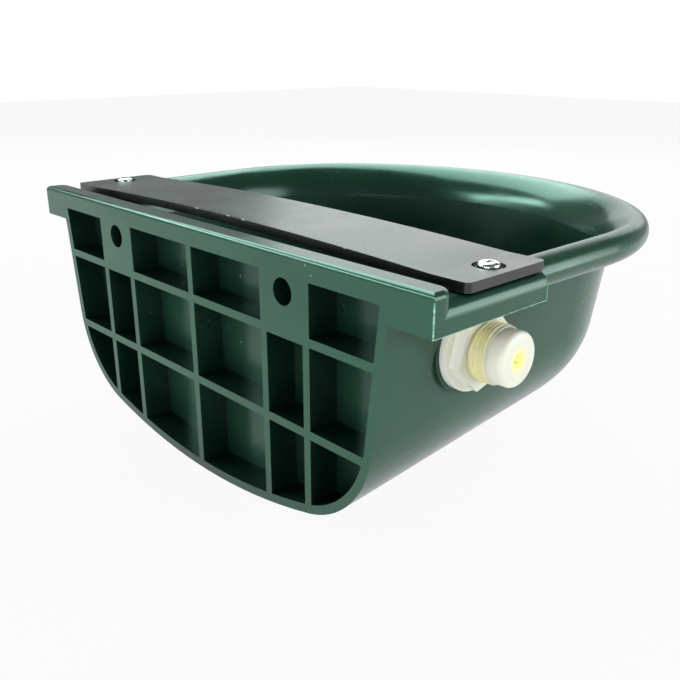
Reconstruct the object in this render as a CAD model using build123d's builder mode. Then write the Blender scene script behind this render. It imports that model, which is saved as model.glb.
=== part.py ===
"""Wall-mounted livestock drinking bowl with a float valve under its cover.

Millimetres. X runs along the wall, Y away from it and Z up. The origin is midway between the
two wall bolt holes, on the back face.
"""

from build123d import *
from math import asin, cos, degrees, radians, sin, tan
import os

# ---------------------------------------------------------------- bowl: overall
bolt_spacing = 145.0
bolt_hole_radius = 6.25
bolt_hole_drop = 15.5  # bolt holes below the top of the lip
lip_width = 315.0
lip_height = 15.0
lip_length = 71.0  # square rear part of the lip, back face to its step
lip_edge_radius = 6.0
lip_wall = 3.5
bowl_reach = 270.0  # back face to the front of the rolled rim
bowl_depth = 130.0  # top of the lip to the lowest point
straight_length = 138.0  # back face to where the front starts to curve
front_blend = 50.0  # degrees of side arc before the wide arc across the front
wall = 3.5

# ---------------------------------------------------------------- bowl: basin
side_overhang = 23.0  # lip's side face to the basin's, level with the lip's lower edge
front_overhang = 21.0  # front of the rim to the basin's, at the same level
side_draft = 6.5  # degrees
front_draft = 13.0
floor_tilt = 5.6  # the floor rises towards the front
floor_crown_radius = 340.0
floor_corner_radius = 55.0
floor_corner_margin = 1.0  # wall's turn round the front to the floor's corner, at least
turn_drop = 20.0  # where the wall starts to turn out to the rim

# ---------------------------------------------------------------- bowl: rolled rim and ridge
rim_radius = 7.5
rim_inset = 5.5  # rolled rim inside the face of the square lip
rim_mouth = 2.0  # the roll stops this far past its middle
rim_flat = 1.5  # level part of the rim before it rolls over
ridge_rise = 2.0
ridge_thickness = 12.5
ridge_round = 2.5
ridge_corner_radius = 7.0
ledge_drop = 3.0  # cover ledge below the top of the lip
deck_thickness = 4.0  # under the ledge

# ---------------------------------------------------------------- bowl: ribbed back
pocket_depth = 16.0
pocket_top_drop = 8.0
back_edge_wall = 4.5
rib_thickness = 4.2
rib_places = (0.0, 58.5, 87.6)  # upright ribs, each side of the middle
row_drops = (34.5, 78.0)  # level ribs, below the top of the lip

# ---------------------------------------------------------------- cover
cover_end_gap = 1.5  # side of the lip to the end of the cover
cover_width = 50.5
cover_thickness = 4.2
cover_bow = 2.9
cover_back_gap = 7.9
cover_pad_rise = 0.6  # screw pads that hold the cover off the ledge
cover_pad_margin = 1.0  # flat ends of the cover, inside the pads
cover_corner_radius = 3.0
screw_end_margin = 11.0  # screws in from the ends of the cover
screw_setback = 47.0
screw_radius = 2.5
screw_length = 16.0
screw_head_radius = 4.7
screw_head_height = 2.8
screw_post_radius = 5.0
screw_pad_radius = 7.0
dimple_radius = 6.9
dimple_depth = 1.2
screw_hole_play = 0.3
recess_width = 1.1  # crossed recess in the screw heads
recess_turn = 20.0

# ---------------------------------------------------------------- inlet through the side wall
inlet_setback = 54.0
inlet_drop = 37.0
thread_radius = 13.22  # G 3/4 outside
thread_length = 18.0  # outside the wall
thread_depth = 1.16
thread_root = 0.8  # one open root of the thread, at the nut's face
nose_radius = 12.2
nose_length = 7.4
nose_round = 2.0
bore_radius = 5.2
hole_clearance = 0.25
seat_rise = 0.6  # flat seat round the hole, outside
seat_rise_inside = 1.3
seat_radius = 20.8
seat_border = 1.2
strainer_length = 8.0
strainer_rim = 2.0
strainer_wall = 1.0
strainer_gap = 0.8
strainer_slots = 8
strainer_slot_width = 1.2
gasket_thickness = 2.0
collar_radius = 18.0
collar_thickness = 4.0
nut_flange_radius = 20.0
nut_flange_thickness = 3.4
nut_across_flats = 32.0
nut_thickness = 5.6
nut_turn = 15.0
fit_clearance = 0.05

# ---------------------------------------------------------------- float valve
chamber_radius = 13.0
chamber_bore = 9.5
chamber_length = 39.0
window_margin = 1.5  # water windows to the bore's end
nozzle_seat_depth = 3.0
nozzle_radius = 5.5
nozzle_flange_radius = 7.5
nozzle_flange_thickness = 1.5
nozzle_tip_radius = 3.6
nozzle_tip_length = 4.0
nozzle_shank_length = 8.0
nozzle_chamfer = 0.6
orifice_radius = 1.9
oring_radius = 0.9
plunger_clearance = 0.08
plunger_length = 23.0
plunger_chamfer = 0.8
seal_radius = 7.2
stub_margin = 0.2  # plunger's stub past the seal
seal_thickness = 3.0
seal_cap_length = 7.0
seal_lip = 0.9
seal_lip_bore = 5.2
seat_gap = 0.3  # seal to nozzle with the arm fully up

lever_drop = 18.0  # pivot below the valve's axis
lever_nose = 14.0  # pivot to the middle of the nose
arm_travel = 22.0  # degrees
float_floor_gap = 3.5  # float to the floor with the bowl empty
nose_slot_setback = 15.5  # seal face to the slot in the plunger
nose_tip_radius = 2.0
nose_width = 6.0
nose_neck = 3.0
nose_play = 0.4
nose_top_play = 1.0
slot_flare = 1.4
lever_width = 8.0
lever_thickness = 6.0
ear_gap = 0.3
ear_thickness = 3.5
ear_radius = 5.5
pin_radius = 2.0
pin_clearance = 0.06
pin_head_radius = 3.4
pin_head_thickness = 1.4
pin_tail = 2.4  # past the ear, for the clip
clip_thickness = 0.8
clip_radius = 3.6
clip_mouth = 2.4
lever_boss_radius = 5.0
socket_start = 15.0
socket_length = 15.0
socket_radius = 4.5
rod_radius = 2.5
rod_grip = 10.0
nut_flats = 8.0  # M5 nuts on the rod
nut_height = 4.0
lock_nut_height = 2.7
float_start = 86.0  # pivot to the near end of the float
float_length = 88.0
float_width = 36.0
float_height = 36.0
float_round = 9.0
float_wall = 2.0
float_washer_radius = 6.5
float_washer_thickness = 1.2
float_end_round = 4.0
rod_tail = 2.0  # rod past its end nut

# ---------------------------------------------------------------- derived places
lip_top = bolt_hole_drop
lip_bottom = lip_top - lip_height
ledge_top = lip_top - ledge_drop
deck_bottom = ledge_top - deck_thickness
basin_rear = pocket_depth + wall
rim_middle = lip_top - rim_radius
rim_half_width = lip_width / 2 - rim_inset - rim_radius
rim_reach = bowl_reach - rim_radius
basin_half_width = lip_width / 2 - side_overhang
basin_reach = bowl_reach - front_overhang
cover_length = lip_width - 2 * cover_end_gap
screw_spacing = cover_length - 2 * screw_end_margin
cover_underside = ledge_top + cover_pad_rise
cover_rear = ridge_thickness + cover_back_gap
inlet_height = lip_top - inlet_drop
inlet_wall = basin_half_width - (inlet_drop - lip_height) * tan(radians(side_draft))
seat_outer = inlet_wall + seat_rise
seat_inner = inlet_wall - wall - seat_rise_inside
nut_face = seat_outer + nut_flange_thickness + nut_thickness
thread_end = seat_outer + thread_length
inlet_end = thread_end + nose_length
collar_face = seat_inner - gasket_thickness
collar_back = collar_face - collar_thickness
chamber_end = collar_back - chamber_length
bore_end = collar_back - nozzle_seat_depth
nozzle_tip = bore_end - nozzle_flange_thickness - nozzle_tip_length
travel = lever_nose * radians(arm_travel)
seal_face = nozzle_tip - seat_gap - travel
slot_place = seal_face - nose_slot_setback
pivot_x = slot_place + lever_nose * sin(radians(arm_travel / 2))
pivot_height = inlet_height - lever_drop
socket_end = socket_start + socket_length
float_end = float_start + float_length

# the arm hangs until the float's far end is just clear of the crowned floor
floor_rise = inlet_setback * tan(radians(floor_tilt))
floor_side_rise = (float_end - pivot_x) ** 2 / (2 * floor_crown_radius)
floor_height = lip_top - bowl_depth + wall + floor_rise + floor_side_rise
float_room = pivot_height - floor_height - float_height / 2 - float_floor_gap
arm_rest = degrees(asin(float_room / float_end))

os.makedirs("parts", exist_ok=True)


def finish_part(part, name):
    """Label one finished sub-part and write its STEP file."""
    part.label = name
    export_step(part, f"parts/{name}.step")


def along_inlet(x):
    """Plane square to the inlet's axis at x, its own Y upwards and its normal along +X."""
    return Plane(origin=(x, inlet_setback, inlet_height), x_dir=(0, 1, 0), z_dir=(1, 0, 0))


# ================================================================ bowl
def side_arc_radius(half_width, reach):
    """Radius of the arc that turns each side wall towards the front."""
    blend_cos = cos(radians(front_blend))
    blend_sin = sin(radians(front_blend))
    shoulder = (1 - blend_sin) / blend_cos
    side = reach - straight_length - half_width * shoulder
    return side / (blend_sin - shoulder * (1 - blend_cos))


def front_line(half_width, reach):
    """Three tangent arcs round the front, from the right side to the left."""
    blend_cos = cos(radians(front_blend))
    side = side_arc_radius(half_width, reach)
    middle = (half_width - side * (1 - blend_cos)) / blend_cos
    with BuildLine() as line:
        CenterArc((half_width - side, straight_length), side, 0, front_blend)
        CenterArc((0, reach - middle), middle, front_blend, 180 - 2 * front_blend)
        CenterArc((side - half_width, straight_length), side, 180 - front_blend, front_blend)
    return line.line


def d_plan(half_width, reach, rear=0.0):
    """D-shaped plan: straight back and sides, front of three arcs."""
    with BuildSketch() as plan:
        with BuildLine():
            Line((half_width, rear), (half_width, straight_length))
            add(front_line(half_width, reach))
            Line((-half_width, straight_length), (-half_width, rear))
            Line((-half_width, rear), (half_width, rear))
        make_face()
    return plan.sketch


def wall_half_width(drop, inset):
    """Half the width of the drafted side walls, this far below the top of the lip."""
    return basin_half_width - inset - (drop - lip_height) * tan(radians(side_draft))


def wall_reach(drop, inset):
    """Reach of the drafted front wall, this far below the top of the lip."""
    return basin_reach - inset - (drop - lip_height) * tan(radians(front_draft))


def floor_corner(inset):
    """Corner radius of the floor, inside the tightest turn of the wall round it."""
    turn = side_arc_radius(wall_half_width(bowl_depth, inset), wall_reach(bowl_depth, inset))
    return min(floor_corner_radius - inset, turn - floor_corner_margin)


def turned_top(inset, rear, top_drop, top_height):
    """Top of the basin wall, turned out almost level at top_drop, with a slab on it."""
    half_width_end = rim_half_width - rim_flat
    reach_end = rim_reach - rim_flat
    side_turn = half_width_end - wall_half_width(top_drop, inset)
    front_turn = reach_end - wall_reach(top_drop, inset)
    steps = 6
    last = radians(80)
    with BuildPart() as form:
        for step in range(steps + 1):
            angle = last * step / steps
            drop = turn_drop - (turn_drop - top_drop) * sin(angle) / sin(last)
            out = (1 - cos(angle)) / (1 - cos(last))
            half_width = wall_half_width(drop, inset) + side_turn * out
            reach = wall_reach(drop, inset) + front_turn * out
            with BuildSketch(Plane.XY.offset(lip_top - drop)):
                add(d_plan(half_width, reach, rear))
        loft()
        with BuildSketch(Plane.XY.offset(lip_top - top_drop)):
            add(d_plan(half_width_end, reach_end, rear))
        extrude(amount=top_height)
    return form.part


def basin_form(inset, rear, top_drop, top_height):
    """Drafted D-shaped basin with a crowned, rising floor and one large corner radius."""
    deepest = bowl_depth + floor_corner_radius
    with BuildPart() as form:
        for drop in (turn_drop, deepest):
            with BuildSketch(Plane.XY.offset(lip_top - drop)):
                add(d_plan(wall_half_width(drop, inset), wall_reach(drop, inset), rear))
        loft(ruled=True)
        run_back = 30.0
        floor_start = lip_top - bowl_depth + inset - run_back * tan(radians(floor_tilt))
        floor_plane = Plane(
            origin=(0, -run_back, floor_start),
            x_dir=(-1, 0, 0),
            z_dir=(0, cos(radians(floor_tilt)), sin(radians(floor_tilt))),
        )
        crown = floor_crown_radius - inset
        half_span = basin_half_width + run_back
        sag = crown - (crown**2 - half_span**2) ** 0.5
        with BuildSketch(floor_plane):
            with BuildLine():
                ThreePointArc((-half_span, sag), (0, 0), (half_span, sag))
                Polyline(
                    (half_span, sag),
                    (half_span, 2 * bowl_depth),
                    (-half_span, 2 * bowl_depth),
                    (-half_span, sag),
                )
            make_face()
        extrude(amount=bowl_reach + 2 * run_back, mode=Mode.INTERSECT)
        low_edges = form.edges().filter_by(
            lambda edge: edge.center().Z < lip_top - bowl_depth / 2 and edge.center().Y > rear + 1
        )
        fillet(low_edges, floor_corner(inset))
        add(turned_top(inset, rear, top_drop, top_height))
    return form.part


def back_outline(inset, top_drop):
    """Outline of the basin at the back face, set in by inset."""
    bottom_drop = bowl_depth + floor_corner_radius
    crown = floor_crown_radius - inset
    with BuildSketch() as outline:
        Polygon(
            (wall_half_width(top_drop, inset), lip_top - top_drop),
            (-wall_half_width(top_drop, inset), lip_top - top_drop),
            (-wall_half_width(bottom_drop, inset), lip_top - bottom_drop),
            (wall_half_width(bottom_drop, inset), lip_top - bottom_drop),
            align=None,
        )
        with Locations((0, lip_top - bowl_depth + floor_crown_radius)):
            Circle(crown, mode=Mode.INTERSECT)
        corners = outline.vertices().group_by(Axis.Y)[0]
        fillet(corners, floor_corner(inset))
    return outline.sketch


outside_form = basin_form(0, 0, wall, wall - ledge_drop)
inside_form = basin_form(wall, basin_rear, 0, ridge_rise)

with BuildPart() as bowl:
    # square rear part of the lip, hollow underneath
    with BuildSketch(Plane.XZ.offset(-lip_length)) as lip_profile:
        with Locations((0, (ledge_top + lip_bottom) / 2)):
            Rectangle(lip_width, ledge_top - lip_bottom)
        fillet(lip_profile.vertices().group_by(Axis.Y)[-1], lip_edge_radius)
    extrude(amount=lip_length)
    with BuildSketch(Plane.XZ.offset(lip_wall - lip_length)):
        with Locations((0, (deck_bottom + lip_bottom) / 2)):
            Rectangle(lip_width - 2 * lip_wall, deck_bottom - lip_bottom)
    extrude(amount=lip_length - lip_wall - back_edge_wall, mode=Mode.SUBTRACT)
    # raised ridge along the back edge, rounded at its ends
    with BuildSketch(Plane.XY.offset(ledge_top - lip_edge_radius)) as ridge_plan:
        with Locations((0, ridge_thickness / 2)):
            Rectangle(lip_width, ridge_thickness)
        fillet(ridge_plan.vertices().group_by(Axis.Y)[-1], ridge_corner_radius)
    extrude(amount=lip_edge_radius + ledge_drop + ridge_rise)
    fillet(bowl.faces().sort_by(Axis.Z)[-1].outer_wire().edges(), ridge_round)
    # basin and its turned-out top
    add(outside_form)
    # posts for the cover screws, under the ledge, and their raised pads
    with Locations(Plane.XY.offset(lip_bottom)):
        with GridLocations(screw_spacing, 1, 2, 1):
            with Locations((0, screw_setback)):
                Cylinder(
                    screw_post_radius,
                    deck_bottom - lip_bottom + wall,
                    align=(Align.CENTER, Align.CENTER, Align.MIN),
                )
    # rolled rim, open underneath
    with BuildLine(Plane.XY.offset(rim_middle)) as rim_path:
        add(front_line(rim_half_width, rim_reach))
    with BuildSketch(Plane.XZ.offset(-straight_length)) as rim_section:
        with Locations((rim_half_width, rim_middle)):
            Circle(rim_radius)
        with Locations((rim_half_width, lip_top)):
            Rectangle(2 * rim_radius, wall, align=(Align.MAX, Align.MAX))
        with Locations((rim_half_width, rim_middle)):
            Circle(rim_radius - wall, mode=Mode.SUBTRACT)
        with Locations((rim_half_width, lip_top - wall)):
            Rectangle(
                2 * rim_radius,
                2 * rim_radius,
                align=(Align.MAX, Align.MAX),
                mode=Mode.SUBTRACT,
            )
        with Locations((rim_half_width + rim_mouth, rim_middle)):
            Rectangle(
                2 * rim_radius,
                2 * rim_radius,
                align=(Align.MAX, Align.MAX),
                mode=Mode.SUBTRACT,
            )
    sweep(path=rim_path.wires()[0])
    with BuildSketch(Plane.XZ.offset(-straight_length)):
        add(rim_section.sketch)
        mirror(rim_section.sketch, about=Plane.YZ)
    extrude(amount=straight_length - lip_length)
    # hollow of the basin
    add(inside_form, mode=Mode.SUBTRACT)
    # flat seat round the inlet hole
    with BuildSketch(along_inlet(seat_inner)):
        Circle(seat_radius + seat_border)
    extrude(amount=seat_outer - seat_inner)
    with BuildSketch(along_inlet(seat_inner)):
        Circle(seat_radius)
    extrude(amount=-lip_edge_radius, mode=Mode.SUBTRACT)
    with BuildSketch(along_inlet(seat_outer)):
        Circle(seat_radius)
    extrude(amount=lip_edge_radius, mode=Mode.SUBTRACT)
    with BuildSketch(along_inlet(seat_inner)):
        Circle(thread_radius + hole_clearance)
    extrude(amount=seat_outer - seat_inner, both=True, mode=Mode.SUBTRACT)
    # pads and pilot holes for the cover screws
    with Locations(Plane.XY.offset(ledge_top)):
        with GridLocations(screw_spacing, 1, 2, 1):
            with Locations((0, screw_setback)):
                Cylinder(
                    screw_pad_radius,
                    cover_pad_rise,
                    align=(Align.CENTER, Align.CENTER, Align.MIN),
                )
    # ribbed back: pockets between the ribs, solid cells round the bolt holes
    with BuildSketch(Plane.XZ):
        add(back_outline(back_edge_wall, pocket_top_drop))
        mid_drop = (pocket_top_drop + bowl_depth) / 2
        for place in rib_places:
            for side in (-1, 1):
                with Locations((side * place, lip_top - mid_drop)):
                    Rectangle(rib_thickness, bowl_depth, mode=Mode.SUBTRACT)
        for drop in row_drops:
            with Locations((0, lip_top - drop)):
                Rectangle(lip_width, rib_thickness, mode=Mode.SUBTRACT)
        cell_drop = (pocket_top_drop + row_drops[0]) / 2
        cell_middle = (rib_places[1] + rib_places[2]) / 2
        with Locations((-cell_middle, lip_top - cell_drop), (cell_middle, lip_top - cell_drop)):
            Rectangle(
                rib_places[2] - rib_places[1],
                row_drops[0] - pocket_top_drop + rib_thickness,
                mode=Mode.SUBTRACT,
            )
    extrude(amount=-pocket_depth, mode=Mode.SUBTRACT)
    with BuildSketch(Plane.XZ):
        with GridLocations(bolt_spacing, 1, 2, 1):
            Circle(bolt_hole_radius)
    extrude(amount=-basin_rear - 1, mode=Mode.SUBTRACT)
    with BuildSketch(Plane.XY.offset(cover_underside)):
        with GridLocations(screw_spacing, 1, 2, 1):
            with Locations((0, screw_setback)):
                Circle(screw_radius)
    extrude(amount=-screw_length, mode=Mode.SUBTRACT)
finish_part(bowl.part, "bowl")


# ================================================================ cover plate
seat_half = screw_spacing / 2 - screw_pad_radius - cover_pad_margin
with BuildPart() as cover_plate:
    with BuildSketch(Plane.XZ.offset(-cover_rear)) as cover_profile:
        with BuildLine():
            low = cover_underside
            high = cover_underside + cover_thickness
            half = cover_length / 2
            Line((-half, low), (-seat_half, low))
            ThreePointArc((-seat_half, low), (0, low + cover_bow), (seat_half, low))
            Polyline((seat_half, low), (half, low), (half, high), (seat_half, high))
            ThreePointArc((seat_half, high), (0, high + cover_bow), (-seat_half, high))
            Polyline((-seat_half, high), (-half, high), (-half, low))
        make_face()
    extrude(amount=-cover_width)
    fillet(cover_plate.edges().filter_by(Axis.Z), cover_corner_radius)
    with BuildSketch(Plane.XY.offset(high)):
        with GridLocations(screw_spacing, 1, 2, 1):
            with Locations((0, screw_setback)):
                Circle(dimple_radius)
    extrude(amount=-dimple_depth, mode=Mode.SUBTRACT)
    with BuildSketch(Plane.XY.offset(high)):
        with GridLocations(screw_spacing, 1, 2, 1):
            with Locations((0, screw_setback)):
                Circle(screw_radius + screw_hole_play)
    extrude(amount=-cover_thickness, mode=Mode.SUBTRACT)
finish_part(cover_plate.part, "cover_plate")

# ================================================================ cover screws
screw_seat = cover_underside + cover_thickness - dimple_depth
with BuildPart() as cover_screws:
    with BuildSketch(Plane.XY.offset(screw_seat)):
        with GridLocations(screw_spacing, 1, 2, 1):
            with Locations((0, screw_setback)):
                Circle(screw_head_radius)
    extrude(amount=screw_head_height)
    head_tops = cover_screws.faces().sort_by(Axis.Z)[-2:]
    fillet(head_tops.edges(), screw_head_height * 0.6)
    with BuildSketch(Plane.XY.offset(screw_seat)):
        with GridLocations(screw_spacing, 1, 2, 1):
            with Locations((0, screw_setback)):
                Circle(screw_radius)
    extrude(amount=-screw_length)
    chamfer(cover_screws.faces().sort_by(Axis.Z)[:2].edges(), screw_radius * 0.3)
    with BuildSketch(Plane.XY.offset(screw_seat + screw_head_height)):
        with GridLocations(screw_spacing, 1, 2, 1):
            with Locations((0, screw_setback)):
                Rectangle(screw_head_radius, recess_width, rotation=recess_turn)
                Rectangle(recess_width, screw_head_radius, rotation=recess_turn)
    extrude(amount=-screw_head_height * 0.6, mode=Mode.SUBTRACT)
finish_part(cover_screws.part, "cover_screws")

# ================================================================ valve body
with BuildPart() as valve_body:
    with BuildSketch(along_inlet(collar_face)):
        Circle(thread_radius)
    extrude(amount=thread_end - collar_face)
    with BuildSketch(along_inlet(thread_end)):
        Circle(nose_radius)
    extrude(amount=inlet_end - thread_end)
    fillet(valve_body.faces().sort_by(Axis.X)[-1].edges(), nose_round)
    with BuildSketch(along_inlet(nut_face)):
        Circle(thread_radius)
        Circle(thread_radius - thread_depth, mode=Mode.SUBTRACT)
    extrude(amount=thread_root, mode=Mode.SUBTRACT)
    with BuildSketch(along_inlet(collar_back)):
        Circle(collar_radius)
    extrude(amount=collar_thickness)
    with BuildSketch(along_inlet(chamber_end)):
        Circle(chamber_radius)
    extrude(amount=chamber_length)
    # ears for the lever's pivot
    with BuildSketch(Plane.XZ.offset(-inlet_setback)):
        with Locations((pivot_x, pivot_height)):
            Circle(ear_radius)
            Rectangle(2 * ear_radius, lever_drop, align=(Align.CENTER, Align.MIN))
    extrude(amount=lever_width / 2 + ear_gap + ear_thickness, both=True)
    # plunger bore, slot for the lever and the water windows
    with BuildSketch(along_inlet(chamber_end)):
        Circle(chamber_bore)
    extrude(amount=bore_end - chamber_end, mode=Mode.SUBTRACT)
    with BuildSketch(Plane.XZ.offset(-inlet_setback)):
        with Locations((pivot_x + ear_radius, inlet_height)):
            Rectangle(
                pivot_x + ear_radius - chamber_end,
                2 * lever_drop,
                align=(Align.MAX, Align.MAX),
            )
    extrude(amount=lever_width / 2 + ear_gap, both=True, mode=Mode.SUBTRACT)
    with BuildSketch(Plane.XZ.offset(-inlet_setback)):
        with Locations((pivot_x, pivot_height)):
            Circle(pin_radius + fit_clearance)
    extrude(amount=chamber_radius, both=True, mode=Mode.SUBTRACT)
    window = nozzle_tip - nozzle_tip_length
    window_length = bore_end - window_margin - window
    with BuildSketch(Plane.XZ.offset(-inlet_setback)):
        with Locations((window, inlet_height)):
            Rectangle(window_length, chamber_bore, align=(Align.MIN, Align.CENTER))
    extrude(amount=2 * chamber_radius, both=True, mode=Mode.SUBTRACT)
    with BuildSketch(Plane.XY.offset(inlet_height)):
        with Locations((window, inlet_setback)):
            Rectangle(window_length, chamber_bore, align=(Align.MIN, Align.CENTER))
    extrude(amount=-2 * chamber_radius, mode=Mode.SUBTRACT)
    # waterway and nozzle socket
    with BuildSketch(along_inlet(bore_end)):
        Circle(bore_radius)
    extrude(amount=inlet_end - bore_end, mode=Mode.SUBTRACT)
    with BuildSketch(along_inlet(bore_end)):
        Circle(nozzle_radius + fit_clearance)
    extrude(amount=nozzle_shank_length, mode=Mode.SUBTRACT)
finish_part(valve_body.part, "valve_body")

# ================================================================ lock nut
with BuildPart() as lock_nut:
    with BuildSketch(along_inlet(seat_outer)):
        Circle(nut_flange_radius)
    extrude(amount=nut_flange_thickness)
    with BuildSketch(along_inlet(seat_outer + nut_flange_thickness)):
        RegularPolygon(nut_across_flats / 2, 6, major_radius=False, rotation=nut_turn)
    extrude(amount=nut_thickness)
    with BuildSketch(along_inlet(seat_outer)):
        Circle(thread_radius + fit_clearance)
    extrude(amount=nut_flange_thickness + nut_thickness, mode=Mode.SUBTRACT)
finish_part(lock_nut.part, "lock_nut")

# ================================================================ inlet strainer
with BuildPart() as inlet_strainer:
    with BuildSketch(along_inlet(inlet_end - strainer_length)):
        Circle(bore_radius - strainer_gap)
    extrude(amount=strainer_length)
    with BuildSketch(along_inlet(inlet_end - strainer_rim)):
        Circle(bore_radius - fit_clearance)
    extrude(amount=strainer_rim)
    with BuildSketch(along_inlet(inlet_end)):
        Circle(bore_radius - strainer_gap - strainer_wall)
    extrude(amount=strainer_wall - strainer_length, mode=Mode.SUBTRACT)
    with BuildSketch(along_inlet(inlet_end - strainer_rim)):
        with PolarLocations(bore_radius - strainer_gap, strainer_slots):
            Rectangle(3 * strainer_wall, strainer_slot_width)
    extrude(amount=3 * strainer_wall - strainer_length + strainer_rim, mode=Mode.SUBTRACT)
finish_part(inlet_strainer.part, "inlet_strainer")

# ================================================================ inlet gasket
with BuildPart() as inlet_gasket:
    with BuildSketch(along_inlet(collar_face)):
        Circle(collar_radius)
        Circle(thread_radius + fit_clearance, mode=Mode.SUBTRACT)
    extrude(amount=gasket_thickness)
finish_part(inlet_gasket.part, "inlet_gasket")

# ================================================================ nozzle and its O-ring
oring_place = bore_end + nozzle_shank_length * 0.4
groove_floor = nozzle_radius + fit_clearance - 2 * oring_radius
with BuildPart() as nozzle:
    with BuildSketch(along_inlet(bore_end)):
        Circle(nozzle_radius)
    extrude(amount=nozzle_shank_length)
    with BuildSketch(along_inlet(bore_end)):
        Circle(nozzle_flange_radius)
    extrude(amount=-nozzle_flange_thickness)
    with BuildSketch(along_inlet(bore_end - nozzle_flange_thickness)):
        Circle(nozzle_tip_radius)
    extrude(amount=-nozzle_tip_length)
    chamfer(nozzle.faces().sort_by(Axis.X)[0].edges(), nozzle_chamfer)
    with BuildSketch(along_inlet(oring_place - oring_radius)):
        Circle(nozzle_radius)
        Circle(groove_floor, mode=Mode.SUBTRACT)
    extrude(amount=2 * oring_radius, mode=Mode.SUBTRACT)
    with BuildSketch(along_inlet(nozzle_tip)):
        Circle(orifice_radius)
    extrude(amount=bore_end - nozzle_tip + nozzle_shank_length, mode=Mode.SUBTRACT)
finish_part(nozzle.part, "nozzle")

with BuildPart(along_inlet(oring_place)) as nozzle_oring:
    Torus(groove_floor + oring_radius, oring_radius)
finish_part(nozzle_oring.part, "nozzle_oring")

# ================================================================ plunger, seal and cap
plunger_radius = chamber_bore - plunger_clearance
cap_back = seal_face - seal_cap_length
stub_radius = seal_radius + stub_margin
with BuildPart() as plunger:
    with BuildSketch(along_inlet(seal_face - plunger_length)):
        Circle(plunger_radius)
    extrude(amount=plunger_length - seal_cap_length)
    chamfer(plunger.faces().sort_by(Axis.X)[0].edges(), plunger_chamfer)
    with BuildSketch(along_inlet(cap_back)):
        Circle(stub_radius)
    extrude(amount=seal_cap_length - seal_thickness)
    with BuildSketch(Plane.XZ.offset(-inlet_setback)):
        with Locations((slot_place, inlet_height)):
            slot_half = nose_tip_radius + nose_play
            slot_top = lever_nose + nose_tip_radius + nose_top_play - lever_drop
            slot_mouth = slot_half + slot_flare
            slot_neck = lever_nose - lever_drop - nose_top_play
            Polygon(
                (-slot_half, slot_top),
                (slot_half, slot_top),
                (slot_half, slot_neck),
                (slot_mouth, -chamber_bore),
                (-slot_mouth, -chamber_bore),
                (-slot_half, slot_neck),
                align=None,
            )
    extrude(amount=nose_width / 2 + ear_gap, both=True, mode=Mode.SUBTRACT)
finish_part(plunger.part, "plunger")

with BuildPart() as seal_disc:
    with BuildSketch(along_inlet(seal_face - seal_thickness)):
        Circle(seal_radius)
    extrude(amount=seal_thickness)
finish_part(seal_disc.part, "seal_disc")

with BuildPart() as seal_cap:
    with BuildSketch(along_inlet(cap_back)):
        Circle(plunger_radius)
    extrude(amount=seal_cap_length + seal_lip)
    with BuildSketch(along_inlet(cap_back)):
        Circle(stub_radius + fit_clearance)
    extrude(amount=seal_cap_length, mode=Mode.SUBTRACT)
    with BuildSketch(along_inlet(seal_face)):
        Circle(seal_lip_bore)
    extrude(amount=seal_lip, mode=Mode.SUBTRACT)
finish_part(seal_cap.part, "seal_cap")

# ================================================================ lever
# the arm's own frame: X along the rod to the float, Y up, Z along the pivot
arm_plane = Plane(
    origin=(pivot_x, inlet_setback, pivot_height),
    x_dir=(-cos(radians(arm_rest)), 0, -sin(radians(arm_rest))),
    z_dir=(0, 1, 0),
)
across_arm = Plane(
    origin=(pivot_x, inlet_setback, pivot_height),
    x_dir=(0, 1, 0),
    z_dir=(-cos(radians(arm_rest)), 0, -sin(radians(arm_rest))),
)
nose_lean = arm_travel / 2
with BuildPart() as lever:
    with BuildSketch(arm_plane):
        Circle(lever_boss_radius)
        Rectangle(socket_start + 1, lever_thickness, align=(Align.MIN, Align.CENTER))
    extrude(amount=lever_width / 2, both=True)
    with BuildSketch(Plane.XZ.offset(-inlet_setback)):
        with Locations(Location((pivot_x, pivot_height, 0), (0, 0, nose_lean))):
            Rectangle(nose_neck, lever_nose, align=(Align.CENTER, Align.MIN))
            with Locations((0, lever_nose)):
                Circle(nose_tip_radius)
    extrude(amount=nose_width / 2, both=True)
    with BuildSketch(across_arm.offset(socket_start)):
        Circle(socket_radius)
    extrude(amount=socket_length)
    with BuildSketch(across_arm.offset(socket_end)):
        Circle(rod_radius + fit_clearance)
    extrude(amount=-rod_grip, mode=Mode.SUBTRACT)
    with BuildSketch(arm_plane):
        Circle(pin_radius + pin_clearance)
    extrude(amount=lever_width, both=True, mode=Mode.SUBTRACT)
finish_part(lever.part, "lever")

# ================================================================ pivot pin and clip
pin_reach = lever_width / 2 + ear_gap + ear_thickness
pin_plane = Plane.XZ.offset(-inlet_setback)
with BuildPart() as pivot_pin:
    with BuildSketch(pin_plane.offset(-pin_reach)):
        with Locations((pivot_x, pivot_height)):
            Circle(pin_radius)
    extrude(amount=2 * pin_reach + pin_tail)
    with BuildSketch(pin_plane.offset(-pin_reach)):
        with Locations((pivot_x, pivot_height)):
            Circle(pin_head_radius)
    extrude(amount=-pin_head_thickness)
    with BuildSketch(pin_plane.offset(pin_reach)):
        with Locations((pivot_x, pivot_height)):
            Circle(pin_radius)
            Circle(pin_radius * 0.8, mode=Mode.SUBTRACT)
    extrude(amount=clip_thickness + 2 * fit_clearance, mode=Mode.SUBTRACT)
finish_part(pivot_pin.part, "pivot_pin")

with BuildPart() as pin_clip:
    with BuildSketch(pin_plane.offset(pin_reach + fit_clearance)):
        with Locations((pivot_x, pivot_height)):
            Circle(clip_radius)
            Circle(pin_radius * 0.8 + fit_clearance, mode=Mode.SUBTRACT)
            Rectangle(
                clip_mouth,
                clip_radius + 1,
                align=(Align.CENTER, Align.MAX),
                mode=Mode.SUBTRACT,
            )
    extrude(amount=clip_thickness)
finish_part(pin_clip.part, "pin_clip")

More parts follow.
